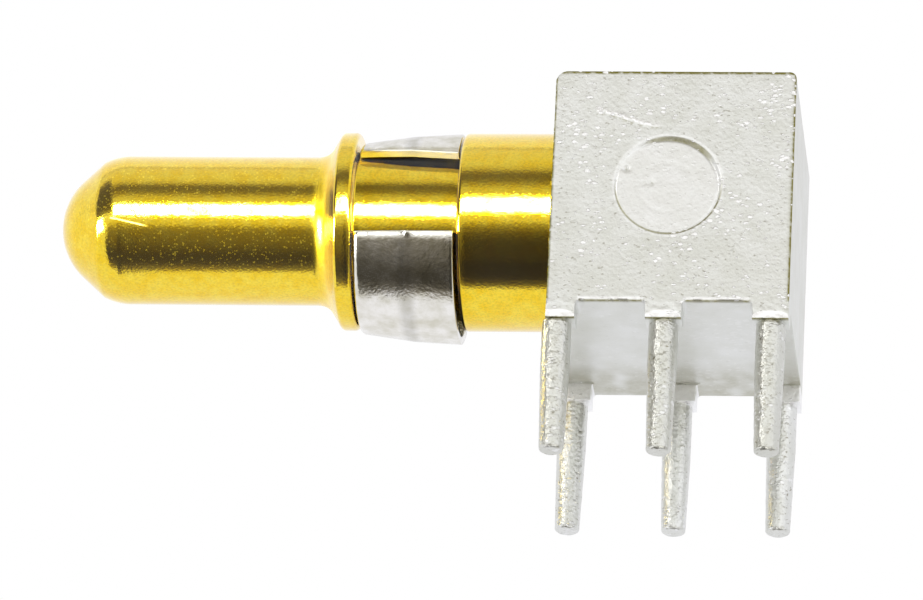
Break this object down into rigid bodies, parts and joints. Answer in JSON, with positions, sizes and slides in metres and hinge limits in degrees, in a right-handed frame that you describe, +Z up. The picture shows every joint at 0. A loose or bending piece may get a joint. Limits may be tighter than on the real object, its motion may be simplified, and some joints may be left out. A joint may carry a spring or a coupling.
{
  "type": "right-angle solder contact",
  "caption": "Right-angle board contact: gold-plated round pin with a flange and a loose spring clip, pressed into a tin-plated cast block that stands on two rows of tapered solder pins.",
  "frame": {"origin": "middle of the solder pin grid, on the surface of the circuit board that the feet stand on", "axes": "+Z up from the board, -X along the contact towards its nose, +Y across the block away from the side with the ejector mark"},
  "size_m": [0.0179, 0.0058, 0.0097],
  "materials": {
    "gold_plating": "bright gold plating on a turned brass contact",
    "spring_steel": "bare rolled spring strip",
    "tin_plating": "matt tin plating on a zinc casting"
  },
  "bodies": {
    "contact": {"contact_pin": "gold_plating", "solder_block": "tin_plating"},
    "clip": {"retaining_clip": "spring_steel"}
  },
  "joints": [
    {"name": "clip_turn", "type": "hinge", "parent": "contact", "child": "clip", "pos_m": [-0.00638, 0, 0.00345], "axis": [1, 0, 0], "continuous": true}
  ]
}
